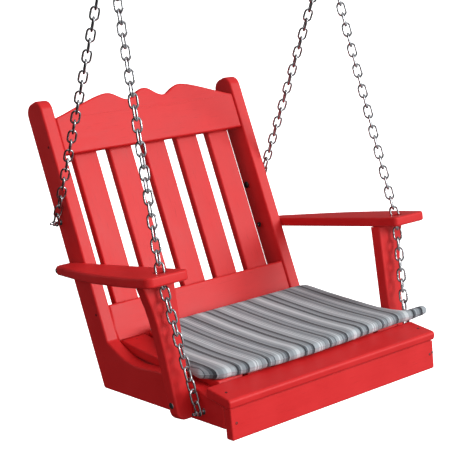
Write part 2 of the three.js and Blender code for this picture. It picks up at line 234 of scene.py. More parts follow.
@dataclass(frozen=True)
class ZincFinish:
    """Bright zinc plating, dulled a little where it has been handled; its near-black copy is painted
    shade.
    """

    name: str = "zinc_plate"
    clean: Colour = (0.60, 0.61, 0.63, 1)
    dull: Colour = (0.36, 0.36, 0.38, 1)
    smooth: float = 0.10
    rough: float = 0.24

    def build(self) -> bpy.types.Material:
        """Makes the material."""
        bench = Bench(self.name)
        bloom = bench.cloud(bench.place(), 110, 4, 0.6)
        spangle = bench.node("ShaderNodeTexVoronoi", {"feature": "F1"}, {
            "Vector": bench.place(), "Scale": 420.0}, "Distance")
        bench.feed("Base Color", bench.mix(bench.remap(bloom, 0.35, 0.65, 0, 1), self.clean, self.dull))
        bench.feed("Metallic", 1.0)
        haze = bloom * 0.7 + spangle * 0.3
        bench.feed("Roughness", bench.remap(haze, 0.2, 0.7, self.smooth, self.rough))
        bench.bump(bench.cloud(bench.place(), 700, 2), 0.00012, 0.5)
        return bench.material


@dataclass(frozen=True)
class StripeFinish:
    """Woven outdoor cloth with front-to-back stripes that repeat across the pad."""

    repeat: float = 0.2
    start: float = -0.4
    grey: Colour = (0.27, 0.305, 0.335, 1)
    silver: Colour = (0.39, 0.435, 0.47, 1)
    slate: Colour = (0.11, 0.13, 0.15, 1)
    ink: Colour = (0.03, 0.036, 0.045, 1)
    white: Colour = (0.63, 0.68, 0.71, 1)
    thread: float = 0.0011

    def stripes(self) -> list[tuple[float, Colour]]:
        """Each band's far edge as a share of the repeat, with its colour, from edges in millimetres."""
        bands = [
            (2, self.grey), (6, self.white), (15, self.silver), (17, self.slate), (27, self.grey),
            (30, self.silver), (35, self.ink), (40, self.slate), (43, self.silver), (52, self.grey),
            (55, self.slate), (65, self.silver), (69, self.white), (78, self.silver), (80, self.slate),
            (86, self.grey), (92, self.slate), (98, self.ink), (101, self.silver), (112, self.grey),
            (121, self.silver), (132, self.white), (142, self.silver), (146, self.grey),
            (151, self.ink), (156, self.slate), (160, self.silver), (169, self.grey),
            (174, self.slate), (179, self.ink), (194, self.silver), (200, self.white),
        ]
        return [(edge * MM / self.repeat, colour) for edge, colour in bands]

    def build(self) -> bpy.types.Material:
        """Makes the material."""
        bench = Bench("striped_cloth")
        across = bench.axis("X")
        wander = (bench.cloud(bench.place((1, 0.15, 1)), 30, 2) - 0.5) * 0.0012
        phase = bench.math("FRACT", (across + wander - self.start) / self.repeat)
        bands = self.stripes()
        starts = [0.0] + [edge for edge, _ in bands[:-1]]
        stops = [(place, colour) for place, (_, colour) in zip(starts, bands)]
        woven = bench.node("ShaderNodeValToRGB", {"stops": stops}, {0: phase}, "Color")
        turn = 2 * math.pi / self.thread
        warp = bench.math("SINE", across * turn)
        weft = bench.math("SINE", bench.axis("Y") * turn)
        weave = warp * weft
        melange = bench.cloud(bench.place((1, 0.2, 1)), 1300, 2)
        shade = bench.remap(melange * 0.6 + weave * 0.2, 0.15, 0.5, 0, 0.16)
        soil = bench.remap(bench.cloud(bench.place(), 14, 3), 0.4, 0.7, 0, 0.05)
        worn = bench.mix(shade, woven, (0.03, 0.03, 0.035, 1))
        bench.feed("Base Color", bench.mix(soil, worn, (0.2, 0.19, 0.18, 1)))
        bench.feed("Roughness", bench.remap(melange, 0.3, 0.7, 0.82, 0.95))
        bench.feed("Sheen Weight", 0.12)
        bench.feed("Sheen Roughness", 0.5)
        bench.bump(weave * 0.5 + melange * 0.5, 0.0003, 0.6)
        return bench.material


@dataclass(frozen=True)
class FloorFinish:
    """A plain white studio floor."""

    tone: Colour = (0.9, 0.9, 0.9, 1)
    faint: Colour = (0.87, 0.87, 0.875, 1)

    def build(self) -> bpy.types.Material:
        """Makes the material."""
        bench = Bench("pale_floor")
        bench.feed("Base Color", bench.mix(bench.cloud(bench.place(), 0.4, 2), self.tone, self.faint))
        bench.feed("Roughness", 0.9)
        bench.feed("Emission Color", (1, 1, 1, 1))
        bench.feed("Emission Strength", 1.0)
        return bench.material


class Finishes:
    """Every material, made once."""

    def __init__(self) -> None:
        """Builds the finishes."""
        self.lumber = {grain: LumberFinish(grain).build() for grain in Grain}
        self.zinc = ZincFinish().build()
        # Painted shade: this near-black plating stands for the shade in the recesses round the inner
        # bolt heads and in the screw holes, not for the metal's own colour.
        self.dark = ZincFinish(
            "near_black_painted_shade", clean=(0.10, 0.09, 0.09, 1), dull=(0.05, 0.045, 0.045, 1), smooth=0.4,
            rough=0.6).build()
        self.stripes = StripeFinish().build()
        self.floor = FloorFinish().build()


# ---- shapes -------------------------------------------------------------------------------------


def rounded(corners: Sequence[Sequence[float]], steps: int = 6) -> Outline:
    """Closed outline from corners given as x, y and an optional radius.

    Args:
        corners: the corners in order.
        steps: how many chords make an arc.

    Returns:
        The outline's points.
    """
    points: Outline = []
    for i, corner in enumerate(corners):
        here = Vector(corner[:2])
        radius = corner[2] if len(corner) > 2 else 0
        if not radius:
            points.append(tuple(here))
            continue
        a = (Vector(corners[i - 1][:2]) - here).normalized()
        b = (Vector(corners[(i + 1) % len(corners)][:2]) - here).normalized()
        half = math.acos(max(-1, min(1, a.dot(b)))) / 2
        centre = here + (a + b).normalized() * (radius / math.sin(half))
        start = here + a * (radius / math.tan(half)) - centre
        end = here + b * (radius / math.tan(half)) - centre
        sweep = math.atan2(start.x * end.y - start.y * end.x, start.dot(end))
        for k in range(steps + 1):
            points.append(tuple(centre + Matrix.Rotation(sweep * k / steps, 2) @ start))
    return points


def disc(x: float, y: float, radius: float, sides: int = 32) -> Outline:
    """A round outline."""
    turns = [2 * math.pi * k / sides for k in range(sides)]
    return [(x + radius * math.cos(t), y + radius * math.sin(t)) for t in turns]


def flowing(points: Outline, steps: int = 6) -> Outline:
    """A smooth open line through the points.

    Args:
        points: the points it passes.
        steps: how many chords lie between two of them.

    Returns:
        The line's points.
    """
    ends = [points[0], *points, points[-1]]
    line: Outline = []
    for p, q, r, s in zip(ends, ends[1:], ends[2:], ends[3:]):
        for k in range(steps):
            t = k / steps
            line.append(tuple(
                0.5 * (2 * q[i] + (r[i] - p[i]) * t + (2 * p[i] - 5 * q[i] + 4 * r[i] - s[i]) * t * t
                       + (3 * q[i] - p[i] - 3 * r[i] + s[i]) * t ** 3) for i in (0, 1)))
    return [*line, points[-1]]


def area(outline: Outline) -> float:
    """Signed area, positive when it runs anticlockwise."""
    return sum(a[0] * b[1] - b[0] * a[1] for a, b in zip(outline, outline[1:] + outline[:1])) / 2


def inset_directions(outline: Outline) -> list[Vector]:
    """How each point moves per millimetre of inset, towards the left of the line."""
    result = []
    for i, here in enumerate(outline):
        before = (Vector(here) - Vector(outline[i - 1])).normalized()
        after = (Vector(outline[(i + 1) % len(outline)]) - Vector(here)).normalized()
        normals = Vector((-before.y, before.x)), Vector((-after.y, after.x))
        both = normals[0] + normals[1]
        result.append(both / max(MITRE_LIMIT, both.length_squared / 2))
    return result


def new_piece(name: str, bm: bmesh.types.BMesh, material: bpy.types.Material,
              weighted: bool = True) -> bpy.types.Object:
    """Turns a bmesh into a smoothly shaded scene object.

    Args:
        name: the piece's name.
        bm: its mesh, freed here.
        material: its finish.
        weighted: whether large flat faces keep their own normals.

    Returns:
        The new object.
    """
    bmesh.ops.remove_doubles(bm, verts=bm.verts, dist=1e-7)
    bmesh.ops.recalc_face_normals(bm, faces=bm.faces)
    mesh = bpy.data.meshes.new(name)
    bm.to_mesh(mesh)
    bm.free()
    for polygon in mesh.polygons:
        polygon.use_smooth = True
    piece = bpy.data.objects.new(name, mesh)
    bpy.context.collection.objects.link(piece)
    piece.data.materials.append(material)
    if weighted:
        even = piece.modifiers.new("even_faces", "WEIGHTED_NORMAL")
        even.keep_sharp = True
        even.weight = 80
    return piece


def slab(outline: Outline, thickness: float, ease: float,
         holes: Sequence[Outline] = ()) -> bmesh.types.BMesh:
    """A board cut to an outline in millimetres, with its rims rounded over.

    Args:
        outline: the board's edge, in its own x and y.
        thickness: along its own z, from 0.
        ease: radius of the rounded rims.
        holes: outlines cut through it, their rims eased less.

    Returns:
        The closed mesh, in metres.
    """
    bm = bmesh.new()
    loops = [outline if area(outline) > 0 else outline[::-1]]
    loops += [hole[::-1] if area(hole) > 0 else hole for hole in holes]
    quarter = [math.pi / 2 * k / RIM_STEPS for k in range(RIM_STEPS + 1)]
    levels = [(1 - math.sin(a), 1 - math.cos(a)) for a in quarter]
    caps: list[list[list[bmesh.types.BMVert]]] = [[], []]
    for number, loop in enumerate(loops):
        radius = ease if number == 0 else min(ease, HOLE_EASE)
        moves = inset_directions(loop)
        rings = []
        heights = [(s, z * radius) for s, z in levels]
        heights += [(s, thickness - z * radius) for s, z in reversed(levels)]
        for share, height in heights:
            rings.append([bm.verts.new(Vector((
                p[0] + m.x * share * radius, p[1] + m.y * share * radius, height)) * MM)
                for p, m in zip(loop, moves)])
        for low, high in zip(rings, rings[1:]):
            for k in range(len(loop)):
                bm.faces.new((low[k - 1], low[k], high[k], high[k - 1]))
        caps[0].append(rings[0])
        caps[1].append(rings[-1])
    for cap in caps:
        flat = [v for ring in cap for v in ring]
        if len(cap) == 1:
            bm.faces.new(flat)
            continue
        for triangle in tessellate_polygon([[v.co for v in ring] for ring in cap]):
            bm.faces.new([flat[i] for i in triangle])
    return bm


def turned(profile: Sequence[tuple[float, float]], sides: int = 32,
           shape: Callable[[float], float] | None = None) -> bmesh.types.BMesh:
    """A turned solid about its own z.

    Args:
        profile: radius and height pairs in millimetres, from one pole to the other.
        sides: facets round it.
        shape: optional limit on the radius at an angle, such as a hexagon's flats.

    Returns:
        The closed mesh, in metres.
    """
    bm = bmesh.new()
    rings = []
    for radius, height in profile:
        if radius <= 1e-6:
            rings.append([bm.verts.new((0, 0, height * MM))])
            continue
        ring = []
        for k in range(sides):
            t = 2 * math.pi * k / sides
            r = min(radius, shape(t)) if shape else radius
            ring.append(bm.verts.new(Vector((r * math.cos(t), r * math.sin(t), height)) * MM))
        rings.append(ring)
    for low, high in zip(rings, rings[1:]):
        for k in range(sides):
            if len(low) == 1:
                bm.faces.new((low[0], high[k], high[k - 1]))
            elif len(high) == 1:
                bm.faces.new((low[k - 1], low[k], high[0]))
            else:
                bm.faces.new((low[k - 1], low[k], high[k], high[k - 1]))
    return bm


def hexagon(across_flats: float) -> Callable[[float], float]:
    """The radius of a hexagon at an angle."""
    def radius(turn: float) -> float:
        """Distance to the flat that faces this way."""
        return across_flats / 2 / math.cos((turn + math.pi / 6) % (math.pi / 3) - math.pi / 6)
    return radius


def swept(path: Sequence[Vector], radii: Sequence[float], sides: int,
          bm: bmesh.types.BMesh | None = None) -> bmesh.types.BMesh:
    """A round bar bent into a closed loop.

    Args:
        path: its centre line, in metres.
        radii: its radius at each point, in metres.
        sides: facets round it.
        bm: mesh to add to.

    Returns:
        The mesh, in metres.
    """
    bm = bm or bmesh.new()
    normal = (path[1] - path[-1]).orthogonal()
    turns = [2 * math.pi * k / sides for k in range(sides)]
    rings = []
    for behind, here, ahead, radius in zip(path[-1:] + path[:-1], path, path[1:] + path[:1], radii):
        tangent = (ahead - behind).normalized()
        normal = (normal - tangent * normal.dot(tangent)).normalized()
        side = tangent.cross(normal)
        rings.append([bm.verts.new(here + (normal * math.cos(t) + side * math.sin(t)) * radius)
                      for t in turns])
    for low, high in zip(rings, rings[1:] + rings[:1]):
        shift = 0
        if low is rings[-1]:
            shift = min(range(sides), key=lambda s: (high[s].co - low[0].co).length)
        for k in range(sides):
            bm.faces.new((low[k - 1], low[k], high[(k + shift) % sides], high[(k - 1 + shift) % sides]))
    return bm


# ---- the hung seat ------------------------------------------------------------------------------


@dataclass(frozen=True)
class Hang:
    """How the level seat frame sits under its ceiling fittings."""

    tilt: float = 7.2
    apex_x: float = 349
    apex_y: float = 273
    apex_z: float = 1109
    apex_drop: float = 112.2
    pin_drop: float = 26
    run_spread: float = 6.6

    @property
    def turn(self) -> Matrix:
        """Rotation from the seat's frame to the room's."""
        return Matrix.Rotation(-math.radians(self.tilt), 3, "X")

    def point(self, place: Sequence[float]) -> Vector:
        """A seat-frame point in millimetres as a point in metres."""
        apex = self.turn @ Vector((0, self.apex_y, self.apex_z))
        return (self.turn @ Vector(place) - apex - Vector((0, 0, self.apex_drop))) * MM

    def matrix(self, x_axis: Vector, y_axis: Vector, origin: Sequence[float]) -> Matrix:
        """Placement of a piece drawn in two seat-frame axes from an origin."""
        return placement(self.turn @ x_axis, self.turn @ y_axis, self.point(origin))


def placement(x_axis: Vector, y_axis: Vector, origin: Vector) -> Matrix:
    """Placement of a piece drawn in two axes, in metres."""
    result = Matrix((x_axis, y_axis, x_axis.cross(y_axis))).transposed().to_4x4()
    result.translation = origin
    return result


def settle(piece: bpy.types.Object, body: Body, slot: Slot, nodes: Sequence[str] = (),
           matrix: Matrix | None = None) -> None:
    """Places a piece, lets it ride on its body and hides the nodes it stands for."""
    if matrix is not None:
        piece.matrix_world = matrix
    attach(piece, body.value)
    if nodes:
        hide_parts(*nodes)
    LOG.info("%s rides on %s", piece.name, body.value)


@dataclass
class Seat:
    """The boards: side frames, back, seat, nosing, apron, arms and arm posts."""

    hang: Hang
    finishes: Finishes
    half_width: float = 343
    frame_t: float = 38
    board_t: float = 25
    gap: float = 0.3
    ease: float = 5.5
    lean: float = 18.54
    corner: tuple[float, float] = (484.4, 133.2)
    rail_length: float = 525
    post_depth: float = 81
    post_top: float = 675
    reveal: float = 3
    lower_rail: tuple[float, float] = (-20, 94)
    crest_bottom: float = 513
    slat: float = 76
    back_slats: int = 5
    back_pitch: float = 115
    slat_ends: tuple[float, float] = (10, 600)
    seat_slats: int = 7
    slat_front: float = 62.5
    slat_rear: float = 478
    seat_front: float = 95
    seat_rise: float = 36.7
    supports: tuple[tuple[str, float, float], ...] = (
        ("front", 63, 43), ("middle", 262, 14), ("rear", 434, 24))
    nosing_rear: tuple[float, float] = (55, 94)
    nosing_depth: float = 89
    nosing_slope: float = 10.3
    nosing_overhang: float = 4
    apron_drop: float = 22
    arm_slope: float = 4.27
    arm_front: float = 80
    arm_under: float = 349.8
    arm_length: float = 538
    arm_width: float = 121
    arm_post_height: float = 339
    arm_post_t: float = 35
    arm_post_y: float = 144
    chain_hole: tuple[float, float, float] = (393, 127, 17)
    crest: Outline = field(default_factory=lambda: [
        (0, 157), (12, 155.5), (24, 149), (40, 138), (57, 131), (72, 133), (88, 141.5), (106, 151.5),
        (122, 155.5), (140, 154.5), (165, 149), (195, 140), (225, 130), (255, 119.5), (280, 111),
        (304.7, 104)])

    def __post_init__(self) -> None:
        """Works out the axes of the leaning and sloping boards."""
        lean, slope = math.radians(self.lean), math.radians(self.arm_slope)
        self.up_back = Vector((0, math.sin(lean), math.cos(lean)))
        self.behind = Vector((0, math.cos(lean), -math.sin(lean)))
        self.arm_back = Vector((0, math.cos(slope), -math.sin(slope)))
        self.arm_up = X_AXIS.cross(self.arm_back)
        self.inner = self.half_width - self.frame_t - self.gap

    def on_back(self, along: float, behind: float) -> Vector:
        """A point beside the back, measured from the inner corner."""
        return Vector((0, *self.corner)) + self.up_back * along + self.behind * behind

    def top(self, y: float) -> float:
        """Height of the dished seat at a distance from the front."""
        share = max(0.0, (y - self.slat_front) / (self.slat_rear - self.slat_front))
        return self.seat_front + self.seat_rise * share ** 1.6

    def hang_board(self, name: str, mesh: bmesh.types.BMesh, grain: Grain, matrix: Matrix) -> None:
        """Adds one board in place of the node of the same name."""
        piece = new_piece(f"{name}_board", mesh, self.finishes.lumber[grain])
        settle(piece, Body.SWING, Slot.LUMBER, [name], matrix)

    def side_frames(self) -> None:
        """The two L-shaped frames of seat rail and back post."""
        front, rear = self.on_back(self.post_top, 0), self.on_back(self.post_top, self.post_depth)
        brow = flowing([(60, 69.5), (92, 80), (135, 87.5), (200, 93.5), (252, 94.5), (312, 91.5),
                        (352, 90), (400, 97), (450, 116)], 5)
        outline = rounded([
            (self.rail_length, 0, 7), (0, 0, 7), (0, 57, 8), (24, 62.5, 20), *brow,
            (*self.corner, 7), (front.y, front.z, 32), (rear.y, rear.z, 30)])
        for side, sign in SIDES:
            inner = self.half_width - self.frame_t if sign > 0 else -self.half_width
            self.hang_board(f"side_frame_{side}", slab(outline, self.frame_t, self.ease), Grain.ALONG_X,
                            self.hang.matrix(Y_AXIS, Z_AXIS, (inner, 0, 0)))

    def back(self) -> None:
        """Crest rail, lower rail and the upright slats behind them."""
        right = flowing(self.crest)
        left = [(-x, h) for x, h in right[1:]]
        crest = [(-self.inner, 0), (self.inner, 0), *right[::-1], *left]
        rail_front = self.reveal + self.board_t
        at = lambda along, behind: self.hang.matrix(X_AXIS, self.up_back, self.on_back(along, behind))
        self.hang_board("crest_rail", slab(crest, self.board_t, self.ease), Grain.ALONG_X,
                        at(self.crest_bottom, rail_front))
        low, high = self.lower_rail
        lower = [(-self.inner, 0), (self.inner, 0), (self.inner, high - low),
                 (-self.inner, high - low)]
        self.hang_board("lower_back_rail", slab(lower, self.board_t, self.ease), Grain.ALONG_X,
                        at(low, rail_front))
        for i in range(self.back_slats):
            middle = (i - (self.back_slats - 1) / 2) * self.back_pitch
            half = self.slat / 2
            low, high = self.slat_ends
            shape = [(middle - half, low), (middle + half, low), (middle + half, high),
                     (middle - half, high)]
            self.hang_board(f"back_slat_{i + 1}", slab(shape, self.board_t, self.ease), Grain.ALONG_Y,
                            at(0, self.reveal + 2 * self.board_t + self.gap))

    def seat(self) -> None:
        """The dished slats and the three supports under them."""
        stations = [self.slat_front + (self.slat_rear - self.slat_front) * k / 28 for k in range(29)]
        shape = [(y, self.top(y) - self.board_t) for y in stations]
        shape += [(y, self.top(y)) for y in reversed(stations)]
        pitch = (2 * self.inner - self.slat) / (self.seat_slats - 1)
        for i in range(self.seat_slats):
            self.hang_board(f"seat_slat_{i + 1}", slab(shape, self.slat, 4), Grain.ALONG_X,
                            self.hang.matrix(Y_AXIS, Z_AXIS, (-self.inner + i * pitch, 0, 0)))
        under = lambda y: self.top(y) - self.board_t - self.gap
        for name, y0, z0 in self.supports:
            y1 = y0 + self.frame_t
            beam = slab([(y0, z0), (y1, z0), (y1, under(y1)), (y0, under(y0))], 2 * self.inner, 2)
            self.hang_board(f"{name}_seat_support", beam, Grain.ALONG_Z,
                            self.hang.matrix(Y_AXIS, Z_AXIS, (-self.inner, 0, 0)))

    def front(self) -> None:
        """The sloping nosing board and the apron below it."""
        slope = math.radians(self.nosing_slope)
        out = Vector((0, -math.cos(slope), -math.sin(slope)))
        up = Vector((0, -math.sin(slope), math.cos(slope)))
        half = self.half_width + self.nosing_overhang
        depth, thick = self.nosing_depth, self.board_t
        nose = rounded([(0, 0, 4), (0, depth, 9), (-thick, depth, 9), (-thick, 0, 4)])
        self.hang_board("seat_nosing", slab(nose, 2 * half, 4), Grain.ALONG_Z,
                        self.hang.matrix(up, out, (-half, *self.nosing_rear)))
        rear, top = self.nosing_rear
        under = lambda y: top - (thick + self.gap) / math.cos(slope) - (rear - y) * math.tan(slope)
        y1, y0 = -self.gap, -self.gap - thick
        face = rounded([(y0, -self.apron_drop, 5), (y1, -self.apron_drop, 5), (y1, under(y1)),
                        (y0, under(y0))])
        self.hang_board("front_apron", slab(face, 2 * self.half_width, 4), Grain.ALONG_Z,
                        self.hang.matrix(Y_AXIS, Z_AXIS, (-self.half_width, 0, 0)))

    def arms(self) -> None:
        """The wide arms, holed for the front chains, and the curved posts that carry them."""
        near = self.half_width + self.gap
        far = near + self.arm_width
        edge = flowing([(far - 2, 40), (far, 110), (far - 7, 221), (far - 20, 321), (far - 45, 437),
                        (far - 61, self.arm_length - 34)], 5)
        arm = rounded([(near, self.arm_length, 7), (near, 0, 12), (far - 3, 0, 20), *edge,
                       (far - 66, self.arm_length, 22)])
        x, y, r = self.chain_hole
        hole = disc(x, (y - self.arm_front) / self.arm_back.y, r)
        height = self.arm_post_height
        bow = flowing([(436, 0), (427, -30), (418, -62), (410, -105), (403, -165), (396, -250),
                       (391, -height + 36)], 5)
        post = rounded([(near, 0), (near, -height, 7), (388, -height, 24), *bow[::-1]])
        along = (self.arm_post_y + self.arm_post_t - self.arm_front) / self.arm_back.y
        for side, sign in SIDES:
            mirror = lambda points: [(sign * px, py) for px, py in points]
            origin = Vector((0, self.arm_front, self.arm_under))
            board = slab(mirror(arm), self.board_t, self.ease, [mirror(hole)])
            self.hang_board(f"armrest_{side}", board, Grain.ALONG_Y,
                            self.hang.matrix(X_AXIS, self.arm_back, origin))
            head = origin + self.arm_back * along - self.arm_up * self.gap
            self.hang_board(f"arm_post_{side}", slab(mirror(post), self.arm_post_t, self.ease),
                            Grain.ALONG_Y, self.hang.matrix(X_AXIS, self.arm_up, head))

    def build(self) -> None:
        """Makes every board."""
        self.side_frames()
        self.back()
        self.seat()
        self.front()
        self.arms()


@dataclass
class Chains:
    """The four runs of welded links."""

    hang: Hang
    finishes: Finishes
    wire: float = 5.6
    inside: float = 30.1
    width: float = 26
    ring_wire: float = 4
    bolt_r: float = 4
    chain_x: float = 357.5
    rear_bolt: tuple[float, float] = (652, 441)
    front_bolt: tuple[float, float] = (80, 30)
    arm_hole: tuple[float, float, float] = (393, 127, 358.8)
    ring_play: float = 2.7
    bolt_play: float = 0.3
    twist_rise: float = 2.4

    def link_path(self) -> list[Vector]:
        """A link's centre line, long way along y."""
        bend = (self.width - self.wire) / 2
        straight = (self.inside + self.wire) / 2 - bend
        arc = [math.pi * k / 10 for k in range(11)]
        top = [Vector((bend * math.cos(a), straight + bend * math.sin(a), 0)) for a in arc]
        side = [Vector((-bend, straight * k / 2, 0)) for k in (1, 0, -1)]
        half = top + side
        return half + [Vector((-p.x, -p.y, 0)) for p in half]

    def run(self, path: Sequence[Vector], links: int, twist: float) -> bmesh.types.BMesh:
        """One run of links.

        Args:
            path: the points it is stretched between, seat frame.
            links: how many.
            twist: turn of the links away from the two ends, in degrees.

        Returns:
            The run's mesh, in metres.
        """
        legs = [(b - a).length for a, b in zip(path, path[1:])]
        first = self.inside / 2 - self.ring_wire - self.ring_play
        last = self.inside / 2 - self.bolt_r - self.bolt_play
        pitch = (sum(legs) - first - last) / (links - 1)

        def at(distance: float) -> Vector:
            """The point this far along the run."""
            leg = 0
            while leg < len(legs) - 1 and distance > legs[leg]:
                distance -= legs[leg]
                leg += 1
            return path[leg] + (path[leg + 1] - path[leg]).normalized() * distance

        link = self.link_path()
        weld = [self.wire / 2 * (1.1 if p.x < 0 and abs(p.y) < 1 else 1) * MM for p in link]
        bm = bmesh.new()
        for i in range(links):
            here = first + i * pitch
            along = (at(here + pitch / 2) - at(here - pitch / 2)).normalized()
            side = along.cross(X_AXIS).normalized()
            across = side.cross(along).normalized() if i % 2 else side
            share = min(1.0, self.twist_rise * math.sin(math.pi * i / (links - 1)))
            swing = math.radians(twist) * share
            across = Matrix.Rotation(swing, 3, along) @ across
            own = self.hang.matrix(across, along, at(here))
            swept([own @ (p * MM) for p in link], weld, 10, bm)
        return bm

    def build(self) -> None:
        """Makes the four runs."""
        h = self.hang
        twists = {"rear_left": 30, "front_left": -38, "rear_right": 34, "front_right": -36}
        for side, sign in SIDES:
            point = lambda x, y, z: Vector((sign * x, y, z))
            rear = [point(h.apex_x + h.run_spread, h.apex_y, h.apex_z),
                    point(self.chain_x, *self.rear_bolt)]
            front = [point(h.apex_x - h.run_spread, h.apex_y, h.apex_z), point(*self.arm_hole),
                     point(self.chain_x, *self.front_bolt)]
            for name, path, links in (("rear", rear, 27), ("front", front, 39)):
                mesh = self.run(path, links, twists[f"{name}_{side}"])
                piece = new_piece(f"{name}_chain_{side}_links", mesh, self.finishes.zinc,
                                  weighted=False)
                settle(piece, Body.SWING, Slot.ZINC, [f"{name}_chain_{side}"])


@dataclass
class Fastenings:
    """Bolts, nuts, washers and screws."""

    seat: Seat
    chains: Chains
    finishes: Finishes
    bolt_r: float = 4
    arm_bolt: tuple[float, float] = (606, 323)
    foot_bolt: tuple[float, float] = (141, 44)
    arm_head_x: float = 395
    foot_head_x: float = 389
    tip: float = 18  # a chain bolt's end past the chain
    chain_thread: float = 34
    tail: float = 9  # an arm or foot bolt's end past the frame
    tail_thread: float = 12
    nut_flats: float = 13
    head_r: float = 8.5
    cap_r: float = 10

    def dome(self, radius: float, rim: float, rise: float) -> list[tuple[float, float]]:
        """Profile of a domed head, from its rim nearly to its crown."""
        quarter = [math.pi / 2 * k / 8 for k in range(8)]
        return [(radius * math.cos(a), rim + rise * math.sin(a)) for a in quarter]

    def bolt(self, length: float, thread: float) -> bmesh.types.BMesh:
        """A round-headed bolt, its shank from z = 0 up to a domed head beyond its length."""
        profile = [(0.0, 0.0), (2.9, 0.0)]
        z = 0.6
        while z < thread:
            profile += [(self.bolt_r - 0.05, z), (self.bolt_r - 0.5, z + 0.6)]
            z += 1.2
        rim, dome = length + 1.4, 4.4
        profile += [(self.bolt_r, thread + 0.6), (self.bolt_r, length), (self.head_r, length)]
        profile += [(self.head_r, rim)] + self.dome(self.head_r, rim, dome)[1:] + [(0.0, rim + dome)]
        return turned(profile, 28)

    def cap(self) -> bmesh.types.BMesh:
        """A near-black dome over a round bolt head, its open face at z = 0, coloured as painted shade
        of the recess.
        """
        rim, rise = 1.6, 5.2
        dome = self.dome(self.cap_r, rim, rise)
        return turned([(0, 0.2), (self.cap_r, 0.2), *dome, (0, rim + rise)], 28)

    def nut(self) -> bmesh.types.BMesh:
        """A chamfered hexagon nut with its washer face at z = 0."""
        profile = [(0, 0), (6.2, 0), (6.7, 0.5), (7.6, 1.2), (7.6, 4.8), (6.7, 5.6), (6.2, 6.0),
                   (4.3, 6.0), (4.1, 5.2), (0, 5.2)]
        return turned(profile, 48, hexagon(self.nut_flats))

    def washer(self) -> bmesh.types.BMesh:
        """A flat washer, closed in the middle where the shank passes."""
        return turned([(0, 0), (8.2, 0), (8.6, 0.3), (8.6, 1.1), (8.2, 1.4), (0, 1.4)], 32)

    def along_x(self, sign: int, x: float, place: Sequence[float]) -> Matrix:
        """Placement with the piece's z pointing out to one side."""
        return self.seat.hang.matrix(Y_AXIS, Z_AXIS * sign, (sign * x, *place))

    def add(self, name: str, mesh: bmesh.types.BMesh, matrix: Matrix, nodes: Sequence[str] = (),
            finish: bpy.types.Material | None = None) -> None:
        """Adds one metal piece, plated unless another finish is given."""
        piece = new_piece(name, mesh, finish or self.finishes.zinc)
        settle(piece, Body.SWING, Slot.ZINC, nodes, matrix)

    def bolts(self) -> None:
        """The chain bolts, headed inside, and the arm and foot bolts, headed outside."""
        inside = self.seat.half_width - self.seat.frame_t
        link = self.chains.wire / 2
        for side, sign in SIDES:
            for name, place in (("rear_chain", self.chains.rear_bolt),
                                ("front_chain", self.chains.front_bolt)):
                tip = self.chains.chain_x + self.tip
                bolt = self.bolt(tip - inside + self.seat.gap, self.chain_thread)
                self.add(f"{name}_bolt_{side}_shank", bolt, self.along_x(-sign, -tip, place),
                         [f"{name}_bolt_{side}"])
                # The near-black cap is painted shade where the bolt head sits in its recess.
                self.add(f"{name}_cap_{side}", self.cap(), self.along_x(-sign, -inside, place), (),
                         self.finishes.dark)
                self.add(f"{name}_nut_{side}_hex", self.nut(),
                         self.along_x(sign, self.chains.chain_x + link + 1, place),
                         [f"{name}_nut_{side}"])
                self.add(f"{name}_washer_{side}", self.washer(),
                         self.along_x(sign, self.seat.half_width + 0.2, place))
            for name, place, head in (("arm", self.arm_bolt, self.arm_head_x),
                                      ("foot", self.foot_bolt, self.foot_head_x)):
                start = inside - self.tail
                self.add(f"{name}_bolt_{side}_shank", self.bolt(head - start, self.tail_thread),
                         self.along_x(sign, start, place), [f"{name}_bolt_{side}"])
                # The inner nut is near-black as painted shade of its recess.
                self.add(f"{name}_nut_{side}_hex", self.nut(),
                         self.along_x(-sign, -(inside - self.seat.gap), place),
                         [f"{name}_nut_{side}"], self.finishes.dark)

    def screw(self) -> bmesh.types.BMesh:
        """A small pan head with a square driver recess, proud of z = 0."""
        rim, half_square, crown, depth = 1.7, 1.3, 0.9, 0.6
        square = lambda turn: half_square / max(abs(math.cos(turn)), abs(math.sin(turn)))
        bm = turned([(0, -2), (3.3, -2), (3.3, 0.2), (2.9, 0.7), (2.0, crown), (rim, crown)], 24)
        flat = [v for v in bm.verts if abs(v.co.z - crown * MM) < 1e-6]
        top = [v for v in flat if v.co.xy.length < (rim + 0.1) * MM]
        top.sort(key=lambda v: math.atan2(v.co.y, v.co.x))
        floor = []
        for v in top:
            turn = math.atan2(v.co.y, v.co.x)
            r = min(square(turn), rim) * MM
            floor.append(bm.verts.new((r * math.cos(turn), r * math.sin(turn), -depth * MM)))
        for k in range(len(top)):
            bm.faces.new((top[k - 1], top[k], floor[k], floor[k - 1]))
        bm.faces.new(floor)
        return bm

